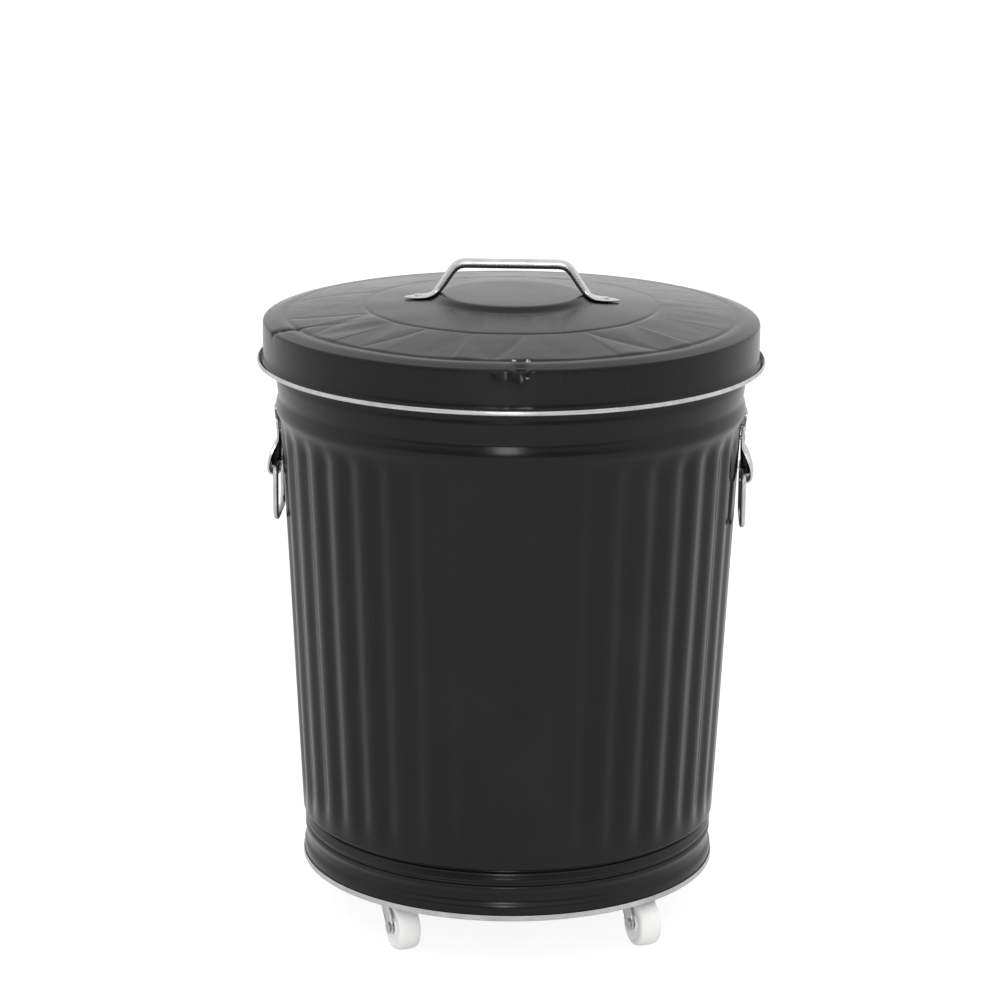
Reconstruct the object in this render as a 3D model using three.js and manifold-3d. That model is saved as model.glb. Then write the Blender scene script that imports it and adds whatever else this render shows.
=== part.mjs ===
// A round lidded steel bin on four swivel casters. The body is fluted, black-coated sheet with a
// wired mouth, a zinc-plated base pan folded round its foot, and a drop bail in a hooded bracket on
// each side. The pressed lid has a pleated crown, a plated rim and a plated rod handle.
// Millimetres, +Z up, origin on the floor under the middle of the bin; the brackets are on +X and -X.
import * as THREE from 'three';
import { mergeVertices } from 'three/addons/utils/BufferGeometryUtils.js';
import Module from 'manifold-3d';

const wasm = await Module();
wasm.setup();

// ---- driving dimensions -------------------------------------------------------------------------
const sheet = 0.8; // thickness of the body, lid and pan
const fit = 0.35; // air between pieces that touch on the real bin

const body = {
  fluteCount: 40, // flutes round the wall
  fluteDepth: 3.5, // crest to valley
  crestHalfTurn: 0.178, // half width of a crest, as a part of the flute pitch
  valleyHalfTurn: 0.322, // where the valley floor starts, as a part of the pitch
  fluteFoot: 86, // height where the flutes reach full depth
  fluteHead: 396, // height where they start to fade
  footRadius: 166.1, // crest radius at fluteFoot
  taper: 0.0505, // gain of radius per millimetre of height
  edgeRadius: 164.85, // lower edge, inside the fold of the pan
  edgeHeight: 43.4,
  neckRadius: 185.6, // plain band under the mouth
  curlRadius: 3.4, // middle of the sheet round the mouth wire
  curlHeight: 480, // height of the wire
};
const wireRadius = 1.9;

const pan = { floor: 52, foot: 42, flangeRadius: 163.6, foldRadius: 166, foldHeight: 4.6 };

const lid = {
  segments: 72,
  pleatCount: 18, // sunburst points on the outer groove
  pleatLift: 1.7, // how far a facet stands above its creases
  pleatInner: 113,
  pleatOuter: 174,
  innerHeight: 493.3,
  outerHeight: 485.4,
  skirtRadius: 195.2,
  rimRadius: 200,
  rimHeight: 452,
};

const handle = { rodRadius: 3.25, barHeight: 527.15, sides: 10 };

const bracket = { halfTurn: 0.114, thickness: 1.4, rivetHeights: [389.5, 398.5] };
const bail = { radius: 2.2, pivotRadius: 184.2, pivotHeight: 364.2, halfWidth: 28, drop: 41 };

const caster = {
  count: 4,
  circleRadius: 134, // swivel axes from the middle of the bin
  firstAngle: THREE.MathUtils.degToRad(51),
  trailAngle: THREE.MathUtils.degToRad(-65), // where the wheels trail at rest
  trail: 17,
  wheelRadius: 19,
  wheelHalfWidth: 9,
  wheelSegments: 16,
  axleRadius: 3,
  plateDepth: 42, // along the radius of the bin
  plateWidth: 50,
  rivetX: 14,
  rivetY: 18,
};
caster.axleHeight = caster.wheelRadius * Math.cos(Math.PI / caster.wheelSegments);

// ---- finishes -----------------------------------------------------------------------------------
const finish = (color, roughness, metalness) => () =>
  new THREE.MeshStandardMaterial({ color, roughness, metalness });
const blackCoat = finish(0x17181a, 0.32, 0.1);
const zinc = finish(0xb9bdc0, 0.38, 1);
const brightPlate = finish(0xcfd2d4, 0.22, 1);
const nylon = finish(0xf0f0ec, 0.45, 0);

// ---- geometry helpers ---------------------------------------------------------------------------
const polar = (radius, angle, z) =>
  new THREE.Vector3(radius * Math.cos(angle), radius * Math.sin(angle), z);

const ring = (radius, z, count, turn = 0) =>
  Array.from({ length: count }, (_, i) => polar(radius, turn + (2 * Math.PI * i) / count, z));

// Triangles between two rings of points: equal counts, one to two, or one of them a single pole.
function bandTriangles(lower, upper) {
  const triangles = [];
  if (lower.length === 1 || upper.length === 1) {
    const wide = lower.length === 1 ? upper : lower;
    for (let i = 0; i < wide.length; i++) {
      const next = wide[(i + 1) % wide.length];
      triangles.push(lower.length === 1 ? [lower[0], next, wide[i]] : [wide[i], next, upper[0]]);
    }
    return triangles;
  }
  if (lower.length === upper.length) {
    for (let i = 0; i < lower.length; i++) {
      const j = (i + 1) % lower.length;
      triangles.push([lower[i], lower[j], upper[j]], [lower[i], upper[j], upper[i]]);
    }
    return triangles;
  }
  const fineAbove = upper.length > lower.length;
  const [coarse, fine] = fineAbove ? [lower, upper] : [upper, lower];
  for (let i = 0; i < coarse.length; i++) {
    const j = (i + 1) % coarse.length;
    const [first, second, third] = [fine[2 * i], fine[2 * i + 1], fine[(2 * i + 2) % fine.length]];
    const faces = [
      [coarse[i], second, first],
      [coarse[i], coarse[j], second],
      [coarse[j], third, second],
    ];
    triangles.push(...(fineAbove ? faces : faces.map(([a, b, c]) => [a, c, b])));
  }
  return triangles;
}

function fromTriangles(triangles) {
  const geometry = new THREE.BufferGeometry().setFromPoints(triangles.flat());
  return welded(geometry);
}

// Only positions, each shared corner stored once.
function welded(geometry) {
  geometry.deleteAttribute('normal');
  geometry.deleteAttribute('uv');
  const shared = mergeVertices(geometry, 1e-4);
  shared.computeVertexNormals();
  return shared;
}

// Skin over a chain of rings round Z. Where it doesn't start and end on a pole, it closes on itself.
function ringSolid(rings) {
  const bands = rings.slice(1).map((upper, i) => bandTriangles(rings[i], upper));
  if (rings[0].length > 1) bands.push(bandTriangles(rings.at(-1), rings[0]));
  return fromTriangles(bands.flat());
}

// Profile of [radius, height] points turned round Z, anticlockwise with the radius to the right.
function turned(profile, segments, turn = 0) {
  const onAxis = profile[0][0] === 0;
  const points = profile.map(([radius, z]) => new THREE.Vector2(radius, z));
  if (!onAxis) points.push(points[0].clone());
  const geometry = new THREE.LatheGeometry(points, segments, Math.PI / 2 + turn);
  return withoutSlivers(welded(geometry.rotateX(Math.PI / 2)));
}

// A lathe leaves flat triangles where its profile meets the axis.
function withoutSlivers(geometry) {
  const index = geometry.getIndex().array;
  const kept = [];
  for (let i = 0; i < index.length; i += 3) {
    const [a, b, c] = index.slice(i, i + 3);
    if (a !== b && b !== c && c !== a) kept.push(a, b, c);
  }
  geometry.setIndex(kept);
  return geometry;
}

// Skin over equal sections, closed at both ends; outline is the first section drawn flat and
// anticlockwise, seen from the end that the sections run towards.
function loft(sections, outline) {
  const walls = sections.slice(1).map((next, i) => bandTriangles(sections[i], next));
  const caps = THREE.ShapeUtils.triangulateShape(outline, []);
  const [first, last] = [sections[0], sections.at(-1)];
  const startCap = caps.map(([a, b, c]) => [first[a], first[c], first[b]]);
  const endCap = caps.map(([a, b, c]) => [last[a], last[b], last[c]]);
  return fromTriangles([...walls.flat(), ...startCap, ...endCap]);
}

function toManifold(geometry) {
  return new wasm.Manifold(
    new wasm.Mesh({
      numProp: 3,
      vertProperties: new Float32Array(geometry.getAttribute('position').array),
      triVerts: new Uint32Array(geometry.getIndex().array),
    }),
  );
}

function fromManifold(manifold) {
  const { vertProperties, triVerts } = manifold.getMesh();
  const geometry = new THREE.BufferGeometry();
  geometry.setAttribute('position', new THREE.BufferAttribute(vertProperties, 3));
  geometry.setIndex(new THREE.BufferAttribute(triVerts, 1));
  geometry.computeVertexNormals();
  return geometry;
}

function joined(...geometries) {
  const [first, ...others] = geometries.map(toManifold);
  return fromManifold(others.reduce((sum, next) => sum.add(next), first));
}

function drilled(geometry, drills) {
  return fromManifold(drills.map(toManifold).reduce((left, drill) => left.subtract(drill), toManifold(geometry)));
}

// Round bar along Z between two heights, a flat side facing +X.
const bar = (radius, low, high, sides = 8) =>
  turned([[0, low], [radius, low], [radius, high], [0, high]], sides, Math.PI / sides);

const circleHole = (x, y, radius, sides) => {
  const corners = Array.from({ length: sides }, (_, i) => {
    const angle = (2 * Math.PI * i) / sides;
    return new THREE.Vector2(x + radius * Math.cos(angle), y + radius * Math.sin(angle));
  });
  return new THREE.Path(corners);
};

const bin = new THREE.Group();

function addPiece(parent, name, geometry, material) {
  const mesh = new THREE.Mesh(geometry, material());
  mesh.name = name;
  parent.add(mesh);
  return mesh;
}

// ---- body ---------------------------------------------------------------------------------------
const flutePitch = (2 * Math.PI) / body.fluteCount;
const crestAt = (z) => body.footRadius + (z - body.fluteFoot) * body.taper;

// Four points to a flute: two on the crest, two at the edges of the valley floor.
function fluteRing(z, inset) {
  const crest = crestAt(z) - inset;
  const valley = crest - body.fluteDepth;
  return Array.from({ length: body.fluteCount }, (_, i) => [
    polar(valley, (i - body.valleyHalfTurn) * flutePitch, z),
    polar(crest, (i - body.crestHalfTurn) * flutePitch, z),
    polar(crest, (i + body.crestHalfTurn) * flutePitch, z),
    polar(valley, (i + body.valleyHalfTurn) * flutePitch, z),
  ]).flat();
}

const plainRing = (radius, z) => ring(radius, z, 2 * body.fluteCount, -flutePitch / 4);

function bodyShell() {
  const base = (inset) => [
    plainRing(body.edgeRadius - inset, body.edgeHeight),
    plainRing(165.1 - inset, 53),
    plainRing(162.8 - inset, 60), // groove over the pan
    plainRing(164.2 - inset, 70), // bead
    plainRing(163.0 - inset, 77.5),
    fluteRing(body.fluteFoot, inset),
    fluteRing(body.fluteHead, inset),
    plainRing(182.5 - inset, 406),
    plainRing(185.8 - inset, 414), // ridge under the neck
  ];
  const curlCentre = body.neckRadius - sheet / 2 + body.curlRadius;
  const curl = (radius) =>
    [180, 100, 20, -60].map((degrees) => {
      const angle = THREE.MathUtils.degToRad(degrees);
      return plainRing(curlCentre + radius * Math.cos(angle), body.curlHeight + radius * Math.sin(angle));
    });
  const inCurl = curl(body.curlRadius - sheet / 2);
  const overCurl = curl(body.curlRadius + sheet / 2).reverse();
  return ringSolid([...base(0), ...inCurl, ...overCurl, ...base(sheet).reverse()]);
}

addPiece(bin, 'body_shell', bodyShell(), blackCoat);

const wireCentre = body.neckRadius - sheet / 2 + body.curlRadius;
const wireProfile = [0, 90, 180, 270].map((degrees) => {
  const angle = THREE.MathUtils.degToRad(degrees);
  return [wireCentre + wireRadius * Math.cos(angle), body.curlHeight + wireRadius * Math.sin(angle)];
});
addPiece(bin, 'mouth_wire', turned(wireProfile, body.fluteCount, -flutePitch / 4), zinc);

const panProfile = [
  [0, pan.floor],
  [pan.flangeRadius - sheet, pan.floor],
  [pan.flangeRadius - sheet, pan.foot],
  [pan.foldRadius, pan.foot],
  [pan.foldRadius, pan.foot + pan.foldHeight],
  [pan.foldRadius - sheet, pan.foot + pan.foldHeight],
  [pan.foldRadius - sheet, pan.foot + sheet],
  [pan.flangeRadius, pan.foot + sheet],
  [pan.flangeRadius, pan.floor + sheet],
  [0, pan.floor + sheet],
];
addPiece(bin, 'bottom_pan', turned(panProfile, 2 * body.fluteCount, -flutePitch / 4), zinc);

// ---- bail brackets and bails --------------------------------------------------------------------
// Inner face of the stamped bracket from its top, down the wall, and round the hood to its lip.
const bracketFace = [
  [185.5, 411.5],
  [183.1, 404],
  [182.5, 387],
  [185.2, 380.5],
  [188.9, 374.5],
  [191.4, 364.5],
  [191, 361.4],
  [188.6, 359.6],
  [185.6, 359.4],
  [183.2, 360.6],
].map(([radius, z]) => new THREE.Vector2(radius, z));
const [, strapTop, strapFoot] = bracketFace;
const strapRadius = (z) => THREE.MathUtils.mapLinear(z, strapTop.y, strapFoot.y, strapTop.x, strapFoot.x);

function offsetFace(face, distance) {
  return face.map((point, i) => {
    const along = face[Math.min(i + 1, face.length - 1)].clone().sub(face[Math.max(i - 1, 0)]).normalize();
    return new THREE.Vector2(point.x - along.y * distance, point.y + along.x * distance);
  });
}

function bracketGeometry() {
  const outline = [...bracketFace, ...offsetFace(bracketFace, bracket.thickness).reverse()];
  const turns = [-1, -0.33, 0.33, 1].map((part) => part * bracket.halfTurn);
  const sections = turns.map((angle) => outline.map((point) => polar(point.x, angle, point.y)));
  return loft(sections.reverse(), outline);
}

function bailGeometry() {
  const { halfWidth, drop } = bail;
  const endGap = 4;
  const upperBend = 5;
  const lowerBend = 10;
  const point = (y, z) => new THREE.Vector3(0, y, z);
  const path = new THREE.CurvePath();
  const halfPath = (side) => [
    [point(side * endGap, 0), point(side * (halfWidth - upperBend), 0)],
    [point(side * (halfWidth - upperBend), 0), point(side * halfWidth, 0), point(side * halfWidth, -upperBend)],
    [point(side * halfWidth, -upperBend), point(side * halfWidth, lowerBend - drop)],
    [
      point(side * halfWidth, lowerBend - drop),
      point(side * halfWidth, -drop),
      point(side * (halfWidth - lowerBend), -drop),
    ],
  ];
  const bottom = [[point(halfWidth - lowerBend, -drop), point(lowerBend - halfWidth, -drop)]];
  const backwards = halfPath(-1).map((stretch) => stretch.slice().reverse()).reverse();
  for (const stretch of [...halfPath(1), ...bottom, ...backwards]) {
    path.add(stretch.length === 3 ? new THREE.QuadraticBezierCurve3(...stretch) : new THREE.LineCurve3(...stretch));
  }
  const section = new THREE.Shape(circleHole(0, 0, bail.radius, 6).getPoints());
  const steps = 26;
  return welded(new THREE.ExtrudeGeometry(section, { steps, extrudePath: path, bevelEnabled: false }));
}

// Rivet along Z: domed head above 0, shank down to -length and an upset end below it.
function rivetGeometry(headRadius, shankRadius, length) {
  const head = headRadius * 0.42;
  const profile = [
    [0, -length - head * 0.6],
    [headRadius * 0.75, -length],
    [shankRadius, -length],
    [shankRadius, 0],
    [headRadius, 0],
    [headRadius * 0.62, head],
    [0, head],
  ];
  return turned(profile, 6);
}

const bracketRivet = { head: 3.6, shank: 1.8, grip: 4.6 };
for (const [side, label] of [[1, 'right'], [-1, 'left']]) {
  const turn = side === 1 ? 0 : Math.PI;
  const sideGroup = new THREE.Group();
  sideGroup.rotation.z = turn;
  bin.add(sideGroup);
  const plate = addPiece(sideGroup, `bracket_${label}`, bracketGeometry(), zinc);
  const bailMesh = addPiece(sideGroup, `bail_${label}`, bailGeometry(), zinc);
  bailMesh.position.set(bail.pivotRadius, 0, bail.pivotHeight);
  bracket.rivetHeights.forEach((height, i) => {
    const seat = new THREE.Group();
    seat.position.set(strapRadius(height) + bracket.thickness + fit, 0, height);
    seat.rotation.y = Math.PI / 2;
    sideGroup.add(seat);
    const letter = 'ab'[i];
    addPiece(seat, `bracket_rivet_${label}_${letter}`, rivetGeometry(bracketRivet.head, bracketRivet.shank, bracketRivet.grip), zinc);
    bin.updateMatrixWorld(true);
    const drill = bar(bracketRivet.shank + fit, -12, 12).applyMatrix4(seat.matrixWorld);
    const shell = bin.getObjectByName('body_shell');
    shell.geometry = drilled(shell.geometry, [drill]);
    const inPlate = drill.clone().applyMatrix4(sideGroup.matrixWorld.clone().invert());
    plate.geometry = drilled(plate.geometry, [inPlate]);
  });
}

// ---- lid ----------------------------------------------------------------------------------------
// Height of the pleated crown: a straight fall from the inner ring to the outer groove, lifted
// between creases that zigzag from ring to ring.
function crownHeight(radius, angle) {
  const part = (radius - lid.pleatInner) / (lid.pleatOuter - lid.pleatInner);
  const halfPitch = Math.PI / lid.pleatCount;
  const offset = Math.abs(THREE.MathUtils.euclideanModulo(angle + halfPitch, 2 * halfPitch) - halfPitch);
  const toCrease = Math.abs(offset - halfPitch * (1 - part)) / halfPitch;
  const fall = THREE.MathUtils.lerp(lid.innerHeight, lid.outerHeight, part);
  return fall + lid.pleatLift * Math.min(1, 2 * toCrease);
}

function crownRing(part, inset) {
  const radius = THREE.MathUtils.lerp(lid.pleatInner, lid.pleatOuter, part);
  return ring(radius, 0, lid.segments).map((point) => {
    point.z = crownHeight(radius, Math.atan2(point.y, point.x) + Math.PI / 2) - inset;
    return point;
  });
}

function lidShell() {
  const level = (radius, z) => ring(radius, z, lid.segments);
  const face = (down, inward) => [
    level(197.7 - inward, 451.6), // lower edge, inside the rim
    level(lid.skirtRadius + 0.2 - inward, 457),
    level(lid.skirtRadius - inward, 480),
    level(194 - inward * 0.8, 483.4 - down * 0.6), // rounded shoulder
    level(190.6 - inward * 0.3, 485.1 - down),
    level(184, 485.9 - down),
    crownRing(1, down),
    crownRing(0.5, down),
    crownRing(0, down),
    level(62, 498.5 - down),
    level(50, 503 - down),
    [new THREE.Vector3(0, 0, 503.4 - down)],
  ];
  const skin = (rings) => rings.slice(1).flatMap((upper, i) => bandTriangles(rings[i], upper));
  const outside = face(0, 0);
  const inside = face(sheet, sheet);
  // both faces split their quads the same way, so the sheet keeps its gauge over the pleats
  const underside = skin(inside).map(([a, b, c]) => [a, c, b]);
  return fromTriangles([...skin(outside), ...underside, ...bandTriangles(inside[0], outside[0])]);
}

// Channel folded over the lower edge of the lid.
const rimProfile = [
  [195.5, 449.8],
  [199.4, 449.8],
  [lid.rimRadius, lid.rimHeight + 0.4],
  [199.2, 454.8],
  [198.5, 450.8],
  [196.0, 450.8],
];

// Half of the rod handle from the tip of its flattened foot to the middle of its bar:
// distance from the middle, height, half width, half thickness.
const handleStations = [
  [84.5, 498.3, 2.6, 0.9],
  [81.5, 498.5, 5.2, 1.1],
  [75, 499.1, 6.2, 1.15],
  [67.5, 499.6, 5.8, 1.15],
  [62.5, 501.2, 4.2, 2],
  [58.8, 504.2, handle.rodRadius, handle.rodRadius],
  [48.2, 520.8, handle.rodRadius, handle.rodRadius],
  [45.2, 524.6, handle.rodRadius, handle.rodRadius],
  [40.5, handle.barHeight, handle.rodRadius, handle.rodRadius],
];

function handleGeometry() {
  const mirrored = handleStations.map(([x, ...rest]) => [-x, ...rest]);
  const stations = [...mirrored, ...handleStations.slice().reverse()];
  const outline = circleHole(0, 0, 1, handle.sides).getPoints().slice(0, handle.sides);
  const sections = stations.map(([x, z, halfWidth, halfThickness], i) => {
    const before = stations[Math.max(i - 1, 0)];
    const after = stations[Math.min(i + 1, stations.length - 1)];
    const slope = Math.atan2(after[1] - before[1], after[0] - before[0]);
    return outline.map((point) => {
      const up = point.y * halfThickness;
      return new THREE.Vector3(x - up * Math.sin(slope), point.x * halfWidth, z + up * Math.cos(slope));
    });
  });
  return loft(sections, outline);
}

const lidGroup = new THREE.Group();
bin.add(lidGroup);
const lidMesh = addPiece(lidGroup, 'lid_shell', lidShell(), blackCoat);
addPiece(lidGroup, 'lid_rim', turned(rimProfile, lid.segments), zinc);
const handleMesh = addPiece(lidGroup, 'lid_handle', handleGeometry(), brightPlate);

const padRivet = { head: 4, shank: 1.9, grip: 5, reach: 77, height: 500.9 };
for (const [side, label] of [[1, 'right'], [-1, 'left']]) {
  const rivet = rivetGeometry(padRivet.head, padRivet.shank, padRivet.grip);
  const mesh = addPiece(lidGroup, `lid_rivet_${label}`, rivet, brightPlate);
  mesh.position.set(side * padRivet.reach, 0, padRivet.height);
  mesh.updateMatrixWorld(true);
  const drill = bar(padRivet.shank + fit, -12, 12).applyMatrix4(mesh.matrixWorld);
  lidMesh.geometry = drilled(lidMesh.geometry, [drill]);
  handleMesh.geometry = drilled(handleMesh.geometry, [drill]);
}

// ---- casters ------------------------------------------------------------------------------------
const plateTop = pan.floor - fit;
const plateBottom = plateTop - 2;
const raceBottom = plateBottom - fit - 3.3;
const yokeTop = raceBottom - fit;
const yokeGauge = 1.6;
const legInner = caster.wheelHalfWidth + 0.9;
const pinHole = caster.axleRadius + 0.6;

function plateGeometry() {
  const [x, y, cut] = [caster.plateDepth / 2, caster.plateWidth / 2, 5];
  const outline = new THREE.Shape(
    [[x, cut - y], [x, y - cut], [x - cut, y], [cut - x, y], [-x, y - cut], [-x, cut - y], [cut - x, -y], [x - cut, -y]]
      .map(([a, b]) => new THREE.Vector2(a, b)),
  );
  outline.holes.push(circleHole(0, 0, pinHole, 8));
  for (const sx of [-1, 1]) {
    for (const sy of [-1, 1]) outline.holes.push(circleHole(sx * caster.rivetX, sy * caster.rivetY, 2.4, 6));
  }
  const slab = new THREE.ExtrudeGeometry(outline, { depth: plateTop - plateBottom, bevelEnabled: false });
  return welded(slab.translate(0, 0, plateBottom));
}

// Stamped yoke: a round top with two legs that lean back to the axle.
function yokeGeometry() {
  const top = new THREE.Shape(circleHole(0, 0, 13.5, 12).getPoints());
  top.holes.push(circleHole(0, 0, pinHole, 6));
  const crown = new THREE.ExtrudeGeometry(top, { depth: yokeGauge, bevelEnabled: false });
  crown.translate(0, 0, yokeTop - yokeGauge);
  const eye = 6.4;
  const leg = new THREE.Shape();
  leg.moveTo(-7.5, yokeTop);
  leg.lineTo(-7.5, yokeTop - 5);
  leg.lineTo(caster.trail - eye * 0.9, caster.axleHeight - eye * 0.45);
  leg.lineTo(caster.trail, caster.axleHeight - eye);
  leg.lineTo(caster.trail + eye * 0.75, caster.axleHeight - eye * 0.66);
  leg.lineTo(caster.trail + eye, caster.axleHeight);
  leg.lineTo(caster.trail + eye * 0.8, caster.axleHeight + eye * 0.7);
  leg.lineTo(9.5, yokeTop);
  leg.holes.push(circleHole(caster.trail, caster.axleHeight, pinHole, 6));
  const legs = [-1, 1].map((side) => {
    const slab = new THREE.ExtrudeGeometry(leg, { depth: yokeGauge, bevelEnabled: false });
    slab.rotateX(Math.PI / 2);
    return welded(slab.translate(0, side === 1 ? legInner + yokeGauge : -legInner, 0));
  });
  return joined(welded(crown), ...legs);
}

const wheelProfile = () => {
  const [half, radius] = [caster.wheelHalfWidth, caster.wheelRadius];
  return [
    [pinHole, -half],
    [radius - 4.5, -half],
    [radius - 1.4, 1.6 - half],
    [radius, 4.8 - half],
    [radius, half - 4.8],
    [radius - 1.4, half - 1.6],
    [radius - 4.5, half],
    [pinHole, half],
  ];
};

function axleGeometry() {
  const legOuter = legInner + yokeGauge + fit;
  const end = legOuter + 1.2;
  return turned(
    [[0, -end], [4.2, -end], [4.2, -legOuter], [caster.axleRadius, -legOuter], [caster.axleRadius, legOuter],
      [4.2, legOuter], [4.2, end], [0, end]],
    6,
  );
}

const kingpinGeometry = () =>
  turned(
    [[0, yokeTop - yokeGauge - fit - 1.4], [5.5, yokeTop - yokeGauge - fit - 1.4],
      [5.5, yokeTop - yokeGauge - fit], [3, yokeTop - yokeGauge - fit], [3, plateTop - 0.2], [0, plateTop - 0.2]],
    8,
  );

const raceGeometry = () => {
  const top = plateBottom - fit;
  return turned([[pinHole, raceBottom], [11, raceBottom], [13, top], [pinHole, top]], 12);
};

const plateRivetDrop = plateBottom - fit;
const plateRivetGrip = pan.floor + sheet + fit - plateRivetDrop;
for (let i = 0; i < caster.count; i++) {
  const number = i + 1;
  const angle = caster.firstAngle + (i * 2 * Math.PI) / caster.count;
  const mount = new THREE.Group();
  mount.position.copy(polar(caster.circleRadius, angle, 0));
  mount.rotation.z = angle;
  bin.add(mount);
  addPiece(mount, `caster_plate_${number}`, plateGeometry(), brightPlate);
  addPiece(mount, `caster_race_${number}`, raceGeometry(), brightPlate);
  addPiece(mount, `kingpin_${number}`, kingpinGeometry(), brightPlate);
  [[1, 1], [-1, 1], [-1, -1], [1, -1]].forEach(([sx, sy], j) => {
    const rivet = rivetGeometry(3.4, 1.7, plateRivetGrip);
    const mesh = addPiece(mount, `plate_rivet_${number}_${'abcd'[j]}`, rivet, zinc);
    mesh.position.set(sx * caster.rivetX, sy * caster.rivetY, plateRivetDrop);
    mesh.rotation.x = Math.PI;
    mesh.updateWorldMatrix(true, false);
    const drill = bar(1.7 + fit, -12, 12, 6).applyMatrix4(mesh.matrixWorld);
    const floor = bin.getObjectByName('bottom_pan');
    floor.geometry = drilled(floor.geometry, [drill]);
  });
  const swivel = new THREE.Group();
  swivel.position.copy(mount.position);
  swivel.rotation.z = caster.trailAngle;
  bin.add(swivel);
  addPiece(swivel, `fork_${number}`, yokeGeometry(), brightPlate);
  const onAxle = new THREE.Group();
  onAxle.position.set(caster.trail, 0, caster.axleHeight);
  onAxle.rotation.x = Math.PI / 2;
  swivel.add(onAxle);
  addPiece(onAxle, `axle_${number}`, axleGeometry(), zinc);
  const flatDown = Math.PI / caster.wheelSegments;
  addPiece(onAxle, `wheel_${number}`, turned(wheelProfile(), caster.wheelSegments, flatDown), nylon);
}

export default bin;
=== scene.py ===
import bpy
import numpy as np
from mathutils import Matrix, Vector


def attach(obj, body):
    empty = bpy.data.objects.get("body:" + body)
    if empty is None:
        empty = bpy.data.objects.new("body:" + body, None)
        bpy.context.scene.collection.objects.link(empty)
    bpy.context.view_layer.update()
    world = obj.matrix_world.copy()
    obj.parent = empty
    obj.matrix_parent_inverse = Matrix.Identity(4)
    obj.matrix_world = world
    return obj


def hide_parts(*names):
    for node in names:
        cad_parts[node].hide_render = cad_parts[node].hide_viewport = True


# Looks of the lidded bin on casters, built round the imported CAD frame.
# Shapes are worked out in millimetres and stored in metres; -Y is the front.
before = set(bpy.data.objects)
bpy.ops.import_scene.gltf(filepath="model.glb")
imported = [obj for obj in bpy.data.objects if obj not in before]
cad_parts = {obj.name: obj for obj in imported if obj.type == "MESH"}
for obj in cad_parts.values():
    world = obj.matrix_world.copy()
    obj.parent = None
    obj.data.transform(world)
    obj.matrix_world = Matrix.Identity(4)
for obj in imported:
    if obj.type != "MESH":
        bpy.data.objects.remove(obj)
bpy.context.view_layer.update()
print("frame loaded")

toMetres = 0.001
tau = 2 * np.pi


# Smooth step from 0 at low to 1 at high: 3t^2 - 2t^3 of the clamped share t.
def ease(values, low, high):
    t = np.clip((values - low) / (high - low), 0, 1)
    return t * t * (3 - 2 * t)


# Bell of height 1 round a middle: e to the minus ((value - middle) / width) to a power.
def bell(values, middle, width, power=2):
    return np.exp(-((values - middle) / width) ** power)


# Cubic through the knots; each slope is the harmonic mean of its neighbours', so it never overshoots.
def throughKnots(at, knots, values):
    knots, values = np.asarray(knots, float), np.asarray(values, float)
    steps = np.diff(knots)
    rise = np.diff(values) / steps
    product = rise[:-1] * rise[1:]
    total = rise[:-1] + rise[1:]
    inner = np.where(product > 0, 2 * product / np.where(product > 0, total, 1), 0)
    slopes = np.concatenate([[rise[0]], inner, [rise[-1]]])
    i = np.clip(np.searchsorted(knots, at, side="right") - 1, 0, len(steps) - 1)
    u = (at - knots[i]) / steps[i]
    start = (2 * u**3 - 3 * u**2 + 1) * values[i] + (u**3 - 2 * u**2 + u) * steps[i] * slopes[i]
    end = (3 * u**2 - 2 * u**3) * values[i + 1] + (u**3 - u**2) * steps[i] * slopes[i + 1]
    return start + end


# Polyline (n, 2) measured along itself: running length of each point.
def lengthAlong(line):
    return np.concatenate([[0], np.cumsum(np.hypot(*np.diff(line, axis=0).T))])


# Several even spans, each (first, last, count), one after the other as a column.
def rowsOver(spans):
    return np.concatenate([np.linspace(*span) for span in spans])[:, None]


# Closed outline with every corner turned into a quadratic arc that leaves and meets its sides.
def rounded(corners, radius, arcSteps=5):
    corners = np.asarray(corners, float)
    back = np.roll(corners, 1, axis=0) - corners
    ahead = np.roll(corners, -1, axis=0) - corners
    backLength = np.linalg.norm(back, axis=1, keepdims=True)
    aheadLength = np.linalg.norm(ahead, axis=1, keepdims=True)
    back, ahead = back / backLength, ahead / aheadLength
    half = np.arccos(np.clip((back * ahead).sum(1, keepdims=True), -0.9999, 0.9999)) / 2
    radius = np.broadcast_to(np.asarray(radius, float).reshape(-1, 1), half.shape)
    cut = np.minimum(radius / np.tan(half), 0.45 * np.minimum(backLength, aheadLength))
    u = np.linspace(0, 1, arcSteps)[None, :, None]
    start, end, middle = (corners + back * cut)[:, None], (corners + ahead * cut)[:, None], corners[:, None]
    return ((1 - u) ** 2 * start + 2 * u * (1 - u) * middle + u**2 * end).reshape(-1, 2)


# Slow waves round and along a surface of revolution: a seeded sum of cos(n angle + k height + phase).
def waviness(angle, height, seed, count=7, finest=9, wavelength=160):
    rng = np.random.default_rng(seed)
    total = np.zeros(np.broadcast(angle, height).shape)
    for n in range(count):
        turns = rng.integers(1, finest + 1)
        total += np.cos(turns * angle + rng.uniform(-1, 1) * tau * height / wavelength + rng.uniform(0, tau)) / count
    return total


# Quads between neighbouring rows and columns of a grid whose columns close into a loop.
def gridFaces(rows, columns, wrapRows, offset=0):
    r = np.arange(rows if wrapRows else rows - 1)[:, None]
    c = np.arange(columns)[None, :]
    r2, c2 = (r + 1) % rows, (c + 1) % columns
    corners = (r * columns + c, r * columns + c2, r2 * columns + c2, r2 * columns + c)
    return np.stack(np.broadcast_arrays(*corners), axis=-1).reshape(-1, 4) + offset


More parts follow.
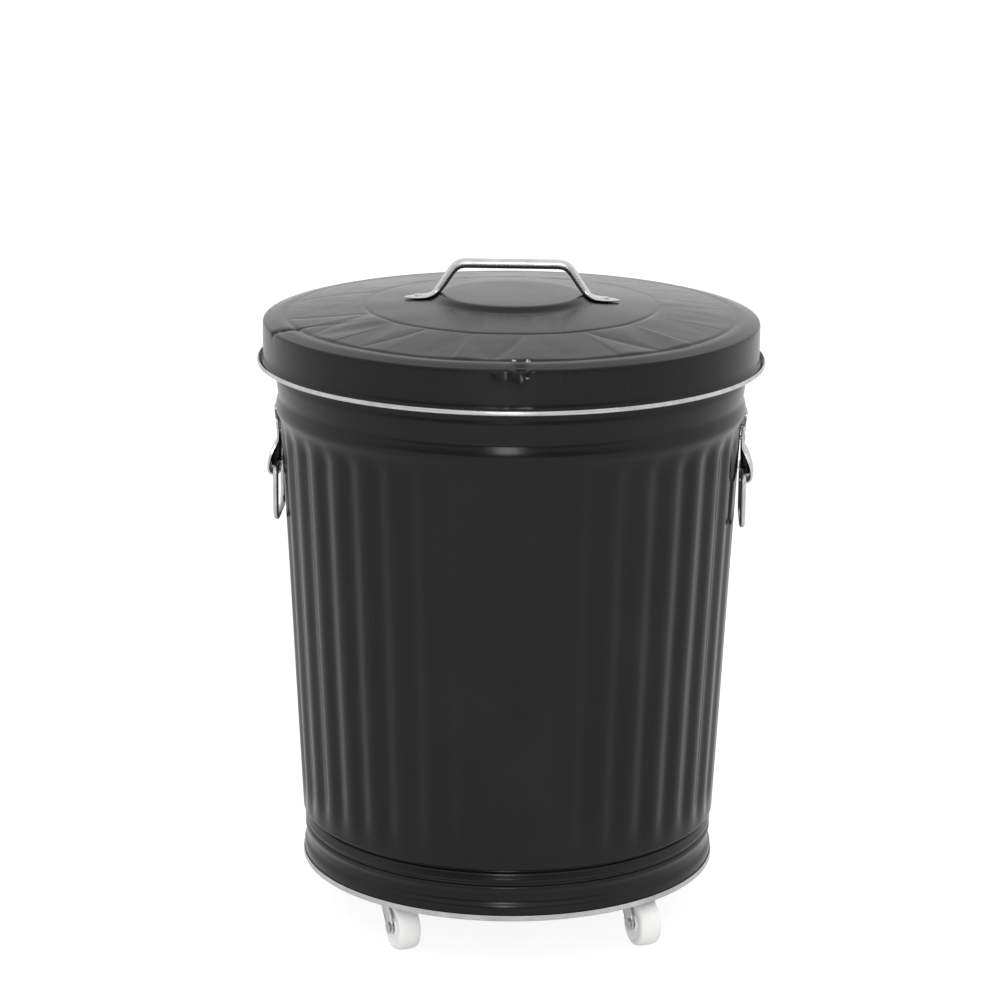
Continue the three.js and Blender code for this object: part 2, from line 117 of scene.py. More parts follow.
# One skin: points[row, column, xyz] -> (vertices, face arrays). With poles, the first and the last row
# become one point each and close the skin with a fan of triangles.
def skin(points, wrapRows=False, poles=False):
    rows, columns = points.shape[:2]
    if not poles:
        return points.reshape(-1, 3), [gridFaces(rows, columns, wrapRows)]
    vertices = np.vstack([points[0, :1], points[-1, :1], points[1:-1].reshape(-1, 3)])
    quads = gridFaces(rows - 2, columns, False, 2)
    i = np.arange(columns)
    j = (i + 1) % columns
    last = 2 + (rows - 3) * columns
    first = np.stack([np.zeros_like(i), 2 + j, 2 + i], axis=-1)
    final = np.stack([np.ones_like(i), last + i, last + j], axis=-1)
    return vertices, [quads, first, final]


# Signed volume from all faces cut into fans; a negative one means that the skin is inside out.
def facesOutward(vertices, faceLists):
    volume = 0
    for faces in faceLists:
        for k in range(1, faces.shape[1] - 1):
            a, b, c = vertices[faces[:, 0]], vertices[faces[:, k]], vertices[faces[:, k + 1]]
            volume += np.einsum("ij,ij->i", a, np.cross(b, c)).sum()
    return faceLists if volume > 0 else [faces[:, ::-1] for faces in faceLists]


# Several skins become one object with smooth faces and edges sharper than sharpAngle kept.
def makePiece(name, skins, material, body, replaced, sharpAngle=40, weights=None):
    vertices, faceLists, offset = [], [], 0
    for points, faces in skins:
        faces = facesOutward(points, faces)
        vertices.append(points)
        faceLists += [part + offset for part in faces]
        offset += len(points)
    vertices = np.vstack(vertices)
    corners = np.concatenate([faces.ravel() for faces in faceLists])
    sizes = np.concatenate([np.full(len(faces), faces.shape[1]) for faces in faceLists])
    mesh = bpy.data.meshes.new(name)
    mesh.vertices.add(len(vertices))
    mesh.vertices.foreach_set("co", (vertices * toMetres).ravel())
    mesh.loops.add(len(corners))
    mesh.loops.foreach_set("vertex_index", corners)
    mesh.polygons.add(len(sizes))
    mesh.polygons.foreach_set("loop_start", np.cumsum(sizes) - sizes)
    mesh.polygons.foreach_set("use_smooth", np.ones(len(sizes), bool))
    mesh.update(calc_edges=True)
    mesh.validate()
    mesh.set_sharp_from_angle(angle=np.radians(sharpAngle))
    for label, values in (weights or {}).items():
        attribute = mesh.attributes.new(label, "FLOAT", "POINT")
        attribute.data.foreach_set("value", values.ravel().astype(np.float32))
    mesh.materials.append(material)
    piece = bpy.data.objects.new(name, mesh)
    bpy.context.collection.objects.link(piece)
    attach(piece, body)
    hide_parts(*replaced)


# Points of a surface round Z: x = r cos a, y = r sin a.
def roundZ(radius, angle, height):
    return np.stack([radius * np.cos(angle), radius * np.sin(angle), height + 0 * angle], axis=-1)


# Profile of (radius, height) turned round Z.
def turned(profile, segments, poles=False):
    angle = np.arange(segments) / segments * tau
    radius, height = np.asarray(profile, float).T[:, :, None]
    return skin(roundZ(radius, angle, height), wrapRows=not poles, poles=poles)


# Profile that starts and ends on the axis, rounded in between, turned round Z.
def turnedSolid(profile, segments, radius=0.3, arcSteps=4):
    corners = np.asarray(profile, float)
    inner = rounded(corners, radius, arcSteps).reshape(len(corners), arcSteps, 2)[1:-1].reshape(-1, 2)
    return turned(np.vstack([corners[:1], inner, corners[-1:]]), segments, poles=True)


# Skin with both ends of the grid drawn in to the middle of their rows.
def endsClosed(points):
    first, last = [np.broadcast_to(points[k].mean(0), points[k].shape)[None] for k in (0, -1)]
    return skin(np.concatenate([first, points, last]), poles=True)


# Section carried along a flat path: point = path + side * s + lift * t, where lift = tangent x side.
def carried(path, sections, side):
    path, side = np.asarray(path, float), np.asarray(side, float)
    tangent = np.gradient(path, axis=0)
    tangent /= np.linalg.norm(tangent, axis=1, keepdims=True)
    lift = np.cross(tangent, side)
    return endsClosed(path[:, None] + sections[..., :1] * side + sections[..., 1:] * lift[:, None])


# Flat slab with softened edges from an outline: rings of the outline shrunk and lifted, capped by poles.
def slabSkin(outline, low, high, edge=0.35):
    outline = np.asarray(outline, float)
    centre = outline.mean(0)
    away = outline - centre
    reach = np.linalg.norm(away, axis=1, keepdims=True)

    def ring(cut, z):
        return np.column_stack([centre + away * (1 - cut / reach), np.full(len(outline), z)])

    def pole(z):
        return np.column_stack([np.tile(centre, (len(outline), 1)), np.full(len(outline), z)])

    shoulder = 0.3 * edge
    rows = [pole(low), ring(edge, low), ring(shoulder, low + shoulder), ring(0, low + edge),
            ring(0, high - edge), ring(shoulder, high - shoulder), ring(edge, high), pole(high)]
    return skin(np.array(rows), poles=True)


# Turn about Z, then shift, of a skin's vertices.
def placed(part, turn=0.0, shift=(0, 0, 0)):
    points, faces = part
    c, s = np.cos(turn), np.sin(turn)
    x, y = points[:, 0] * c - points[:, 1] * s, points[:, 0] * s + points[:, 1] * c
    return np.stack([x, y, points[:, 2]], axis=-1) + np.asarray(shift, float), faces


# What is shaped for the +X side, left there (side 1) or turned half round to -X (side -1).
def onSide(part, side):
    return placed(part, 0 if side > 0 else np.pi)


# Axis swap that lays a skin onto another axis: row n of the matrix says where axis n goes.
def laid(part, matrix):
    points, faces = part
    return points @ np.asarray(matrix, float), faces


# Flat slab stood on edge: (x, y, z) becomes (x, forward * z, y), forward being 1 or -1.
def upright(part, forward):
    points, faces = part
    return np.stack([points[:, 0], forward * points[:, 2], points[:, 1]], axis=-1), faces


view = {"distance": 2616, "height": 1014, "shift": -8, "pitch": 14.55, "azimuth": 2.3, "roll": 0.44,
        "lens": 122.08, "sensor": 36}


def addCamera():
    lens = bpy.data.cameras.new("camera")
    lens.lens, lens.sensor_width, lens.clip_end = view["lens"], view["sensor"], 100
    camera = bpy.data.objects.new("camera", lens)
    bpy.context.collection.objects.link(camera)
    azimuth = Matrix.Rotation(np.radians(view["azimuth"]), 4, "Z")
    place = Vector((view["shift"], -view["distance"], view["height"])) * toMetres
    pitch = Matrix.Rotation(np.radians(90 - view["pitch"]), 4, "X")
    roll = Matrix.Rotation(np.radians(view["roll"]), 4, "Z")
    camera.matrix_world = azimuth @ Matrix.Translation(place) @ pitch @ roll
    bpy.context.scene.camera = camera


# A new node; each input is linked when its value is a socket and set when it isn't.
def node(tree, kind, inputs=None, **settings):
    made = tree.nodes.new(kind)
    for key, value in settings.items():
        setattr(made, key, value)
    for key, value in (inputs or {}).items():
        if isinstance(value, bpy.types.NodeSocket):
            tree.links.new(value, made.inputs[key])
        else:
            made.inputs[key].default_value = value
    return made


def computed(tree, operation, first, second=0.0):
    return node(tree, "ShaderNodeMath", {0: first, 1: second}, operation=operation).outputs[0]


# 1 for rays that come off metal or through glass.
def mirrorRays(tree, rays):
    return computed(tree, "MAXIMUM", rays["Is Glossy Ray"], rays["Is Transmission Ray"])


studio = {
    "behind": 0.96, "front": 0.28, "diffuse": 0.97,  # strength of the tent in mirrors, front and back, and as light
    "lean": 1.15, "greyBelow": -0.8, "whiteAbove": -0.1,  # the tent is white where y + lean * z is over whiteAbove
    "softbox": 8.0, "boxWidth": 0.45, "boxHeight": 1.0, "boxPlace": (0.02, -2.5, 1.3), "boxTarget": (0, 0, 0.4),
}


# Bright tent: white behind and above the bin, greyer low down in front of it, white for the camera.
def addWorld():
    world = bpy.data.worlds.new("tent")
    bpy.context.scene.world = world
    world.use_nodes = True
    tree = world.node_tree
    tree.nodes.clear()
    direction = node(tree, "ShaderNodeTexCoord").outputs["Generated"]
    split = node(tree, "ShaderNodeSeparateXYZ", {0: direction})
    leaning = computed(tree, "MULTIPLY", split.outputs["Z"], studio["lean"])
    facing = computed(tree, "ADD", split.outputs["Y"], leaning)
    shading = {0: facing, 1: studio["greyBelow"], 2: studio["whiteAbove"], 3: studio["front"], 4: studio["behind"]}
    tent = node(tree, "ShaderNodeMapRange", shading, interpolation_type="SMOOTHSTEP")
    rays = node(tree, "ShaderNodeLightPath").outputs
    lit = node(tree, "ShaderNodeMix", {"Factor": mirrorRays(tree, rays), 2: studio["diffuse"], 3: tent.outputs[0]})
    shown = node(tree, "ShaderNodeMix", {"Factor": rays["Is Camera Ray"], 2: lit.outputs[0], 3: 1.0})
    backdrop = node(tree, "ShaderNodeBackground", {"Color": (1, 1, 1, 1), "Strength": shown.outputs[0]})
    node(tree, "ShaderNodeOutputWorld", {0: backdrop.outputs[0]})


# Softbox over the camera; its power is pi * area * radiance.
def addSoftbox():
    lamp = bpy.data.lights.new("frontSoftbox", "AREA")
    lamp.shape, lamp.size, lamp.size_y = "RECTANGLE", studio["boxWidth"], studio["boxHeight"]
    lamp.energy = np.pi * studio["boxWidth"] * studio["boxHeight"] * studio["softbox"]
    box = bpy.data.objects.new("frontSoftbox", lamp)
    bpy.context.collection.objects.link(box)
    place = Vector(studio["boxPlace"])
    aim = (Vector(studio["boxTarget"]) - place).to_track_quat("-Z", "Y")
    box.matrix_world = Matrix.Translation(place) @ aim.to_matrix().to_4x4()


floorPaint = {"paint": 0.8, "mirrorShade": 0.62, "mirrorGlow": 0.32, "seenShade": 0.3, "seenGlow": 0.84, "reach": 30}


# Pale floor, white where nothing shades it: the camera sees most of it as glow, so that only a soft
# shadow shows, and mirrors see the same white with more of the shadow in it.
def addFloor():
    material = bpy.data.materials.new("paleFloor")
    material.use_nodes = True
    tree = material.node_tree
    tree.nodes.clear()

    def painted(shade):
        return node(tree, "ShaderNodeBsdfDiffuse", {"Color": (shade, shade, shade, 1)}).outputs[0]

    def whiteFloor(shade, glow):
        shining = node(tree, "ShaderNodeEmission", {"Color": (1, 1, 1, 1), "Strength": glow})
        return node(tree, "ShaderNodeAddShader", {0: painted(shade), 1: shining.outputs[0]}).outputs[0]

    rays = node(tree, "ShaderNodeLightPath").outputs
    inMirror = whiteFloor(floorPaint["mirrorShade"], floorPaint["mirrorGlow"])
    seen = whiteFloor(floorPaint["seenShade"], floorPaint["seenGlow"])
    plain = painted(floorPaint["paint"])
    unseen = node(tree, "ShaderNodeMixShader", {0: mirrorRays(tree, rays), 1: plain, 2: inMirror})
    surface = node(tree, "ShaderNodeMixShader", {0: rays["Is Camera Ray"], 1: unseen.outputs[0], 2: seen})
    node(tree, "ShaderNodeOutputMaterial", {0: surface.outputs[0]})
    reach = floorPaint["reach"]
    mesh = bpy.data.meshes.new("floor")
    corners = [(-reach, -reach, 0), (reach, -reach, 0), (reach, reach, 0), (-reach, reach, 0)]
    mesh.from_pydata(corners, [], [(0, 1, 2, 3)])
    mesh.materials.append(material)
    floor = bpy.data.objects.new("floor", mesh)
    bpy.context.collection.objects.link(floor)


bpy.context.scene.view_settings.view_transform = "Standard"
addCamera()
addWorld()
addSoftbox()
addFloor()
print("camera and light placed")


# A new material with its object coordinates and an unlinked Principled shader.
def newMaterial(name):
    material = bpy.data.materials.new(name)
    material.use_nodes = True
    tree = material.node_tree
    shader = tree.nodes["Principled BSDF"]
    return material, tree, shader, node(tree, "ShaderNodeTexCoord").outputs["Object"]


def noise(tree, coordinates, scale, detail=3.0, roughness=0.55):
    settings = {"Vector": coordinates, "Scale": scale, "Detail": detail, "Roughness": roughness}
    return node(tree, "ShaderNodeTexNoise", settings).outputs["Fac"]


def mapped(tree, value, low, high, newLow, newHigh):
    return node(tree, "ShaderNodeMapRange", {0: value, 1: low, 2: high, 3: newLow, 4: newHigh}).outputs[0]


def blended(tree, factor, first, second):
    mix = node(tree, "ShaderNodeMix", {"Factor": factor}, data_type="RGBA")
    for socket, value in ((mix.inputs[6], first), (mix.inputs[7], second)):
        if isinstance(value, bpy.types.NodeSocket):
            tree.links.new(value, socket)
        else:
            socket.default_value = (*value, 1)
    return mix.outputs[2]


# Coordinates scaled unevenly, so that a pattern on them runs in long vertical streaks.
def stretched(tree, coordinates, scale):
    return node(tree, "ShaderNodeMapping", {"Vector": coordinates, "Scale": scale}).outputs[0]


blackCoat = {
    "color": (0.0042, 0.0042, 0.0046), "dust": (0.03, 0.029, 0.027), "scuffed": (0.05, 0.05, 0.05),
    "bare": (0.5, 0.5, 0.51), "smooth": 0.17, "rough": 0.25, "ior": 1.335, "peel": 0.00001, "ripple": 0.00025,
}


# Semi-gloss black: orange peel and slow ripples in the bump, haze patches in colour and roughness,
# hair scratches, and bare metal where the mesh's wear attribute is high.
def blackCoatMaterial():
    material, tree, shader, place = newMaterial("blackCoat")
    haze = noise(tree, place, 9, 5)
    peel = noise(tree, place, 850, 2)
    ripple = noise(tree, place, 32, 2)
    streaks = noise(tree, stretched(tree, place, (1, 1, 0.06)), 160, 4, 0.7)
    # a scratch runs along the edge between two fields of a stretched noise, in some patches only
    fields = mapped(tree, noise(tree, stretched(tree, place, (30, 30, 3)), 14, 1), 0.497, 0.503, 0, 1)
    fromEdge = computed(tree, "ABSOLUTE", computed(tree, "SUBTRACT", fields, 0.5))
    patchy = mapped(tree, noise(tree, place, 26, 2), 0.56, 0.66, 0, 0.35)
    scuff = computed(tree, "MULTIPLY", mapped(tree, fromEdge, 0.5, 0.42, 0, 1), patchy)
    wear = node(tree, "ShaderNodeAttribute", attribute_name="wear", attribute_type="GEOMETRY").outputs["Fac"]
    grit = mapped(tree, noise(tree, place, 420, 3, 0.7), 0.3, 0.7, -0.35, 0.35)
    chipped = mapped(tree, computed(tree, "ADD", wear, grit), 0.62, 0.7, 0, 1)
    color = blended(tree, mapped(tree, haze, 0.5, 0.8, 0, 0.2), blackCoat["color"], blackCoat["dust"])
    color = blended(tree, mapped(tree, streaks, 0.6, 0.8, 0, 0.12), color, blackCoat["dust"])
    color = blended(tree, scuff, color, blackCoat["scuffed"])
    color = blended(tree, chipped, color, blackCoat["bare"])
    shine = mapped(tree, haze, 0.3, 0.75, blackCoat["smooth"], blackCoat["rough"])
    shine = computed(tree, "ADD", shine, mapped(tree, streaks, 0.3, 0.8, -0.02, 0.05))
    low = node(tree, "ShaderNodeBump", {"Strength": 0.2, "Distance": blackCoat["ripple"], "Height": ripple})
    fine = node(tree, "ShaderNodeBump", {"Strength": 0.4, "Distance": blackCoat["peel"], "Height": peel,
                                         "Normal": low.outputs[0]})
    tree.links.new(color, shader.inputs["Base Color"])
    tree.links.new(shine, shader.inputs["Roughness"])
    tree.links.new(chipped, shader.inputs["Metallic"])
    tree.links.new(fine.outputs[0], shader.inputs["Normal"])
    shader.inputs["IOR"].default_value = blackCoat["ior"]
    return material


zincPlate = {"light": (0.66, 0.67, 0.68), "dark": (0.5, 0.51, 0.52), "smooth": 0.3, "rough": 0.44,
             "spangle": 0.25, "tarnish": 0.4}
brightPlate = {"light": (0.74, 0.74, 0.76), "dark": (0.55, 0.56, 0.58), "smooth": 0.2, "rough": 0.32,
               "spangle": 0.12, "tarnish": 0.3}


# Plated steel: faint spangle cells and blotches in colour and roughness, fine grain in the bump.
def platedMaterial(name, plate):
    material, tree, shader, place = newMaterial(name)
    cells = node(tree, "ShaderNodeTexVoronoi", {"Vector": place, "Scale": 170.0, "Randomness": 1.0})
    flake = node(tree, "ShaderNodeSeparateColor", {0: cells.outputs["Color"]}).outputs[0]
    blotch = noise(tree, place, 38, 5, 0.6)
    grain = noise(tree, place, 900, 2)
    grime = mapped(tree, noise(tree, place, 120, 4, 0.7), 0.62, 0.78, 0, plate["tarnish"])
    deeper = tuple(0.8 * channel for channel in plate["dark"])
    color = blended(tree, mapped(tree, blotch, 0.35, 0.7, 0, 1), plate["light"], plate["dark"])
    color = blended(tree, mapped(tree, flake, 0, 1, 0, plate["spangle"]), color, deeper)
    color = blended(tree, grime, color, (0.12, 0.115, 0.105))
    shine = mapped(tree, blotch, 0.3, 0.7, plate["smooth"], plate["rough"])
    shine = computed(tree, "ADD", shine, mapped(tree, flake, 0, 1, -0.03, 0.05))
    bump = node(tree, "ShaderNodeBump", {"Strength": 0.35, "Distance": 0.00002, "Height": grain})
    tree.links.new(color, shader.inputs["Base Color"])
    tree.links.new(shine, shader.inputs["Roughness"])
    tree.links.new(bump.outputs[0], shader.inputs["Normal"])
    shader.inputs["Metallic"].default_value = 1.0
    return material


nylon = {"light": (0.97, 0.97, 0.96), "dark": (0.94, 0.94, 0.925), "scuffed": (0.66, 0.65, 0.62),
         "smooth": 0.38, "rough": 0.5}


# White nylon: faint mould flow and scuffs, greyer where it has rolled.
def nylonMaterial():
    material, tree, shader, place = newMaterial("wheelNylon")
    flow = noise(tree, place, 60, 3)
    scuff = mapped(tree, noise(tree, place, 340, 4, 0.7), 0.58, 0.75, 0, 0.45)
    color = blended(tree, mapped(tree, flow, 0.3, 0.7, 0, 1), nylon["light"], nylon["dark"])
    color = blended(tree, scuff, color, nylon["scuffed"])
    shine = mapped(tree, flow, 0.3, 0.7, nylon["smooth"], nylon["rough"])
    bump = node(tree, "ShaderNodeBump", {"Strength": 0.3, "Distance": 0.00003, "Height": noise(tree, place, 700, 2)})
    tree.links.new(color, shader.inputs["Base Color"])
    tree.links.new(shine, shader.inputs["Roughness"])
    tree.links.new(bump.outputs[0], shader.inputs["Normal"])
    return material


coatFinish = blackCoatMaterial()
zincFinish = platedMaterial("zincPlate", zincPlate)
brightFinish = platedMaterial("brightPlate", brightPlate)
nylonFinish = nylonMaterial()
print("materials made")


body = {
    "flutes": 40, "depth": 2.3, "crestHalf": 0.04, "valleyHalf": 0.5, "stepsPerFlute": 15,
    "foot": 86, "footRadius": 166.1, "taper": 0.0505, "sheet": 0.8, "wave": 0.22,
    "baseTop": 88, "neckFoot": 388,  # heights where the plain bands of bodyBase and bodyNeck end
    "curlMiddle": 188.6, "curlHeight": 480, "curlRadius": 3.4, "wire": 1.9,
}
# plain bands under and over the flutes, as (height, radius)
bodyBase = [(43.4, 164.75), (46, 164.9), (50, 165.2), (52.4, 165.15), (54.2, 164.6), (56, 163.4), (58.4, 162.8),
            (62, 162.75), (64.5, 163.2), (66.3, 164), (67.8, 164.35), (69, 164.2), (69.8, 163), (70.6, 161.6),
            (71.4, 161.5), (72.1, 163.1), (73, 164.3), (74.4, 164.4), (76, 163.9), (78, 163.3), (79.6, 162.8),
            (80.8, 161.4), (81.6, 160.4), (82.4, 160.4), (83, 161.8), (83.5, 164.6), (84.2, 165.9), (85.4, 166.1),
            (88, 166.25)]
bodyNeck = [(388, 181.35), (398, 181.9), (404, 182.4), (408, 183.6), (411.5, 185.1), (414, 185.6), (416, 185.4),
            (419, 184.8), (421, 184.2), (422.8, 183.55), (424.4, 183.4), (426, 183.6), (430, 184.2), (434, 184.7),
            (439, 185.2), (440.6, 185.2), (442, 184.7), (444, 184.65), (452, 184.9), (466, 185.3), (476, 185.6),
            (480, 185.6)]
# rows of the wall, as (first height, last height, count), closer where a bead or a groove runs round
bodyRows = [(43.4, 86.4, 50), (88, 116, 8), (120, 370, 6), (384, 410, 12), (411.2, 448, 24), (456, 478, 3)]


# Radius of the wall: plain(z) - depth * fade(z) * dip(t), t being the turn from the nearest crest
# and dip a smooth step from crest to valley, plus slow waves.
def wallRadius(height, angle):
    crest = body["footRadius"] + (height - body["foot"]) * body["taper"]
    base = throughKnots(height, *np.array(bodyBase).T)
    neck = throughKnots(height, *np.array(bodyNeck).T)
    plain = np.where(height < body["baseTop"], base, np.where(height > body["neckFoot"], neck, crest))
    # at each end the plain band runs into the cone of the crests over a few millimetres
    fluted = ease(height, 84, 90) * (1 - ease(height, 384, 394)) * (height > 84) * (height < 394)
    plain = plain + (crest - plain) * fluted
    turn = np.abs((angle / tau * body["flutes"] + 0.5) % 1 - 0.5)
    dip = ease(turn, body["crestHalf"], body["valleyHalf"])
    fade = ease(height, 80, 114) * (1 - ease(height, 391, 409))
    wave = body["wave"] * waviness(angle, height, 5) * ease(height, 50, 90) * (1 - 0.7 * ease(height, 440, 470))
    return plain - body["depth"] * fade * dip + wave


# Up the outside, round both faces of the mouth's curl, and down the inside one sheet further in.
def bodySkin():
    columns = body["flutes"] * body["stepsPerFlute"]
    angle = (np.arange(columns) / columns * tau)[None, :]
    rows = rowsOver(bodyRows)
    inner = rows[::-1][::3]
    curl = np.radians(np.linspace(180, -60, 13))[:, None]

    def ring(reach, turn):
        radius, height = body["curlMiddle"] + reach * np.cos(turn), body["curlHeight"] + reach * np.sin(turn)
        return radius + 0 * angle, height + 0 * angle

    half = body["sheet"] / 2
    parts = [(wallRadius(rows, angle), rows + 0 * angle),
             ring(body["curlRadius"] - half, curl),
             ring(body["curlRadius"] + half, curl[::-1]),
             (wallRadius(inner, angle) - body["sheet"], inner + 0 * angle)]
    radius, height = [np.concatenate(column) for column in zip(*parts)]
    return skin(roundZ(radius, angle, height), wrapRows=True)


# dark lug in black coat put inside each hood as painted shade
shadeLug = {"half": 1.6, "corner": 0.8, "edge": 0.5}
# side view of the lug, as (distance from the middle, height)
shadeLugOutline = [(182, 389), (184.6, 384.4), (187.6, 378.4), (190.6, 370), (191, 364.5), (189.6, 360.6), (186.4, 360),
              (184, 361.6), (182.2, 365)]


# Pressed lug of the wall behind each hood, which parts the bail's two ends and fills the hood's inside with black coat
# as painted shade: its outline as a thin upright slab.
def shadeLugSkin(side):
    slab = slabSkin(rounded(shadeLugOutline, shadeLug["corner"], 3), -shadeLug["half"], shadeLug["half"], shadeLug["edge"])
    return onSide(upright(slab, -1), side)


# the two lugs join the body's skin in its black coat, a dark piece standing in for the shade inside the hoods
makePiece("flutedBody", [bodySkin(), shadeLugSkin(1), shadeLugSkin(-1)], coatFinish, "can", ["body_shell"],
          sharpAngle=55)

wireTurn = np.linspace(0, tau, 12, endpoint=False)
wireLoop = np.stack([body["curlMiddle"] + body["wire"] * np.cos(wireTurn),
                     body["curlHeight"] + body["wire"] * np.sin(wireTurn)], axis=-1)
makePiece("mouthWire", [turned(wireLoop, 240)], zincFinish, "can", ["mouth_wire"])
print("body made")


pan = {"floor": 52, "foot": 42, "flat": 150, "flange": 163.6, "fold": 166, "foldHeight": 4.6, "sheet": 0.8,
       "segments": 360}
panRadii = [0, 1, 1.2, 1.2, 1.1, 0.38, 0.38, 0.3, 0.3, 0.4, 1, 0]  # one for each corner of the pan's section


# Flat floor, hoop down to the foot, and the edge folded up outside the body.
def panSkin():
    t, floor, foot, fold = pan["sheet"], pan["floor"], pan["foot"], pan["fold"]
    foldTop = foot + pan["foldHeight"]
    corners = [(0, floor), (pan["flat"], floor), (pan["flange"] - t, floor), (pan["flange"] - t, foot), (fold, foot),
               (fold, foldTop), (fold - t, foldTop), (fold - t, foot + t), (pan["flange"], foot + t),
               (pan["flange"], floor + t), (pan["flat"], floor + t), (0, floor + t)]
    return turnedSolid(corners, pan["segments"], panRadii, 5)


makePiece("basePan", [panSkin()], zincFinish, "can", ["bottom_pan"])


lid = {
    "pleats": 18, "inner": 115, "outer": 177, "pillow": 0.5, "crease": 0.3, "columns": 720, "sheet": 0.8,
    "corner": 2.2, "cornerHeight": 481.5, "skirt": 195.2,
    "innerGroove": (0.75, 1.7), "outerGroove": (0.85, 1.9),  # depth and width
}
# crown without its pleats, as (radius, height)
lidCrown = [(0, 503.35), (30, 503.3), (46, 503.15), (54, 502.9), (56.2, 502.4), (58, 501.2), (61.5, 499.2),
            (63.5, 498.6), (66, 498.35), (70, 498), (90, 496.3), (108, 494.6), (115, 493.9), (118, 493.7), (150, 490),
            (174, 486.9), (179, 486.4), (184, 486.0), (190, 484.6), (193, 483.75)]
# rings of the crown, as (first radius, last radius, count)
crownRows = [(0.001, 0.001, 1), (8, 50, 5), (53.5, 66.5, 12), (70, 108, 6), (110.5, 119, 10), (121, 171, 24),
             (172.5, 193, 22)]
# skirt down to its flare, as (height, radius)
lidSkirt = [(478, 195.2), (473, 195.2), (466, 195.2), (459, 195.2), (455.4, 195.3), (454.1, 195.8), (452.9, 196.9),
            (451.6, 197.7)]


# Crown: base fall plus facets between the rings, each pillowed with its own lift, parted by zigzag
# creases of uneven depth; a groove runs round each ring. Front facets stand out more than back ones.
def crownHeight(radius, angle):
    base = throughKnots(radius, *np.array(lidCrown).T)
    pleats, inner, outer = lid["pleats"], lid["inner"], lid["outer"]
    part = np.clip((radius - inner) / (outer - inner), 0, 1)
    half = np.pi / pleats
    swing = angle + np.pi / 2 + 0.05 * np.sin(3 * angle)
    offset = np.abs((swing + half) % (2 * half) - half)
    crease = np.abs(offset - half * (1 - part)) / half
    rng = np.random.default_rng(11)
    uneven = 0.15 + 1.1 * rng.uniform(0, 1, 2 * pleats) ** 1.6
    fold = 0.05 + 1.35 * rng.uniform(0, 1, 2 * pleats) ** 2.4
    cell = np.floor((swing + half) / (2 * half)).astype(int) % pleats
    side = ((swing + half) % (2 * half) > half).astype(int) * pleats
    lift = np.where(offset < half * (1 - part), uneven[cell], uneven[cell + pleats])
    facet = lid["pillow"] * lift * ease(crease, 0, 0.7) - lid["crease"] * fold[cell + side] * bell(crease, 0, 0.12)
    inBand = ease(radius, inner - 2, inner + 6) * (1 - ease(radius, outer - 6, outer + 1))
    facing = 0.5 + 0.5 * ease(-np.sin(angle), -0.3, 0.6)
    (innerDeep, innerWide), (outerDeep, outerWide) = lid["innerGroove"], lid["outerGroove"]
    groove = outerDeep * bell(radius, outer, outerWide) + innerDeep * bell(radius, inner, innerWide)
    grooveFacing = 0.14 + 0.86 * ease(-np.sin(angle), -0.12, 0.5)
    dents = ease(radius, 60, 125) * (1 - 0.6 * ease(radius, 176, 190))
    wave = 0.45 * waviness(angle, radius, 21, count=9, finest=12, wavelength=80) * dents
    return base + facet * facing * inBand - groove * grooveFacing + wave


knocks = {
    "front": -193, "frontReach": 10,
    "hollow": 14, "hollowHalf": 5.4, "hollowIn": 2.2, "hollowDown": 2.3,
    "ridges": (4, 24), "ridgeHalf": 4.5, "ridgeRise": 0.5,
    "swell": (1, 472), "swellHalf": (9, 6.5), "swellOut": 1.9,
    "crease": (-179, -73), "creaseSlope": 0.08, "creaseHalf": 2.6, "creaseDown": 2.4, "creasePull": 0.7,
}
# small bare spots, as (x, y, z, reach)
chips = [(8.7, -175, 486.5, 1.5), (19, -175, 486.4, 1.7), (19, -193.5, 477.5, 1.8), (14, -178, 486, 0.8)]


# Knocks: the front corner is pushed in and down between two small ridges, the skirt beside it swells,
# and a sharp radial crease is pressed into the left corner and fades out over the pleats.
def knocked(points):
    x, y, z = points[..., 0], points[..., 1], points[..., 2]
    atFront = bell(y, knocks["front"], knocks["frontReach"])
    hollow = bell(x, knocks["hollow"], knocks["hollowHalf"]) * atFront
    ridges = sum(bell(x, middle, knocks["ridgeHalf"]) for middle in knocks["ridges"]) * atFront
    (swellX, swellZ), (halfX, halfZ) = knocks["swell"], knocks["swellHalf"]
    swell = bell(x, swellX, halfX, 4) * bell(z, swellZ, halfZ) * (y < -150)
    creaseX, creaseY = knocks["crease"]
    across = np.abs(y - creaseY - knocks["creaseSlope"] * (x - creaseX))
    along = 0.8 * (1 - ease(x, -172, -146)) + 0.2 * (1 - ease(x, -150, -96))
    left = np.exp(-across / knocks["creaseHalf"]) * along * ease(z, 477, 484)
    inward = knocks["hollowIn"] * hollow * ease(z, 474, 483) - knocks["swellOut"] * swell - knocks["ridgeRise"] * ridges
    down = (knocks["hollowDown"] * hollow * ease(z, 472, 485) - knocks["ridgeRise"] * ridges * ease(z, 478, 485)
            + knocks["creaseDown"] * left)
    return points + np.stack([knocks["creasePull"] * left, inward, -down], axis=-1)


# Weight for the coat's wear: a bell round each spot.
def chipWear(points):
    return sum(np.exp(-((points - spot[:3]) ** 2).sum(-1) / (2 * spot[3] ** 2)) for spot in np.array(chips))


